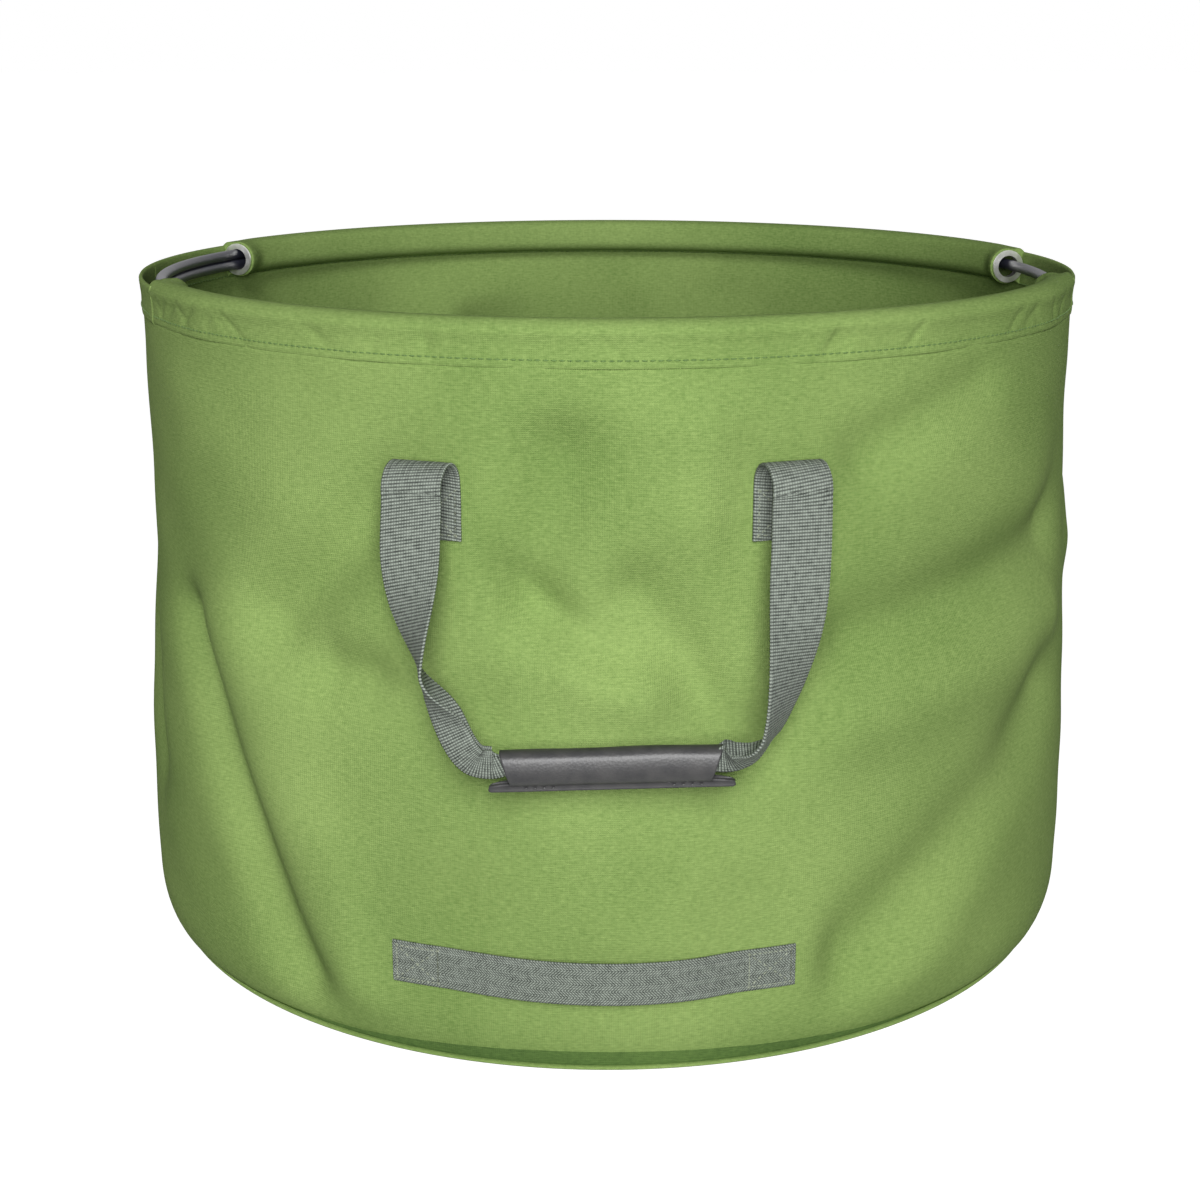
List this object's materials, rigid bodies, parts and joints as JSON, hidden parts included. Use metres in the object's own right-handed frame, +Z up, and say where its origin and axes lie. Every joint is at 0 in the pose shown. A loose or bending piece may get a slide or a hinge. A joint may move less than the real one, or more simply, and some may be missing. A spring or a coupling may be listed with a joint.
{
  "type": "collapsible harvest bag",
  "caption": "Round open-topped canvas picking tub with a hoop-stiffened rim, two hanging carry handles with sewn grips and a short webbing handle low on the front.",
  "frame": {"origin": "middle of the base where it stands on the ground", "axes": "+Z up, -Y to the front (the side with the short low handle), +X to the right seen from the front"},
  "size_m": [0.45, 0.5056, 0.32],
  "materials": {
    "canvas": "matt woven olive green",
    "webbing": "ribbed woven grey-green",
    "grip_leather": "smooth charcoal, soft sheen",
    "thread": "sewing thread",
    "eyelet_metal": "nickel plated, worn",
    "hoop_rod": "black glass-fibre rod, satin",
    "binding_tape": "folded woven tape"
  },
  "bodies": {
    "base": {"base_panel": "canvas", "front_panel": "canvas", "rear_panel": "canvas", "base_seam_binding": "binding_tape", "left_seam_binding": "binding_tape", "right_seam_binding": "binding_tape"},
    "rim": {"front_hem": "canvas", "rear_hem": "canvas", "hoop_rod": "hoop_rod", "hoop_lower_tip": "hoop_rod", "hoop_upper_tip": "hoop_rod", "eyelet_front_left": "eyelet_metal", "eyelet_front_right": "eyelet_metal", "eyelet_rear_left": "eyelet_metal", "eyelet_rear_right": "eyelet_metal", "washer_front_left": "eyelet_metal", "washer_front_right": "eyelet_metal", "washer_rear_left": "eyelet_metal", "washer_rear_right": "eyelet_metal"},
    "front_anchor": {"front_left_patch": "webbing", "front_left_tack": "thread", "front_left_loop": "webbing", "front_right_patch": "webbing", "front_right_tack": "thread", "front_right_loop": "webbing"},
    "front_handle": {"front_left_strap": "webbing", "front_left_stitches": "thread", "front_right_strap": "webbing", "front_right_stitches": "thread", "front_grip_core": "webbing", "front_grip_cover": "grip_leather"},
    "rear_anchor": {"rear_left_patch": "webbing", "rear_left_tack": "thread", "rear_left_loop": "webbing", "rear_right_patch": "webbing", "rear_right_tack": "thread", "rear_right_loop": "webbing"},
    "rear_handle": {"rear_left_strap": "webbing", "rear_left_stitches": "thread", "rear_right_strap": "webbing", "rear_right_stitches": "thread", "rear_grip_core": "webbing", "rear_grip_cover": "grip_leather"},
    "lower_anchor": {"lower_left_patch": "webbing", "lower_left_tack": "thread", "lower_right_patch": "webbing", "lower_right_tack": "thread"},
    "lower_handle": {"lower_strap": "webbing"}
  },
  "joints": [
    {"name": "rim_drop", "type": "slide", "parent": "base", "child": "rim", "axis": [0, 0, 1], "range_m": [-0.21, 0], "deforming": ["front_panel", "rear_panel", "left_seam_binding", "right_seam_binding"]},
    {"name": "front_anchor_drop", "type": "slide", "parent": "base", "child": "front_anchor", "axis": [0, 0, 1], "range_m": [-0.178, 0]},
    {"name": "rear_anchor_drop", "type": "slide", "parent": "base", "child": "rear_anchor", "axis": [0, 0, 1], "range_m": [-0.178, 0]},
    {"name": "lower_anchor_drop", "type": "slide", "parent": "base", "child": "lower_anchor", "axis": [0, 0, 1], "range_m": [-0.031, 0]},
    {"name": "front_handle_swing", "type": "hinge", "parent": "front_anchor", "child": "front_handle", "pos_m": [0, -0.2229, 0.254], "axis": [-1, 0, 0], "range_deg": [0, 130], "deforming": ["front_left_loop", "front_right_loop"]},
    {"name": "rear_handle_swing", "type": "hinge", "parent": "rear_anchor", "child": "rear_handle", "pos_m": [0, 0.2229, 0.254], "axis": [1, 0, 0], "range_deg": [0, 130], "deforming": ["rear_left_loop", "rear_right_loop"]},
    {"name": "lower_handle_swing", "type": "hinge", "parent": "lower_anchor", "child": "lower_handle", "pos_m": [-0.00577, -0.21473, 0.0525], "axis": [-0.9996, 0.0269, 0], "range_deg": [0, 40]}
  ],
  "couplings": [
    {"joint": "front_anchor_drop", "follows": "rim_drop", "ratio": 0.84106},
    {"joint": "rear_anchor_drop", "follows": "rim_drop", "ratio": 0.84106},
    {"joint": "lower_anchor_drop", "follows": "rim_drop", "ratio": 0.14238}
  ]
}
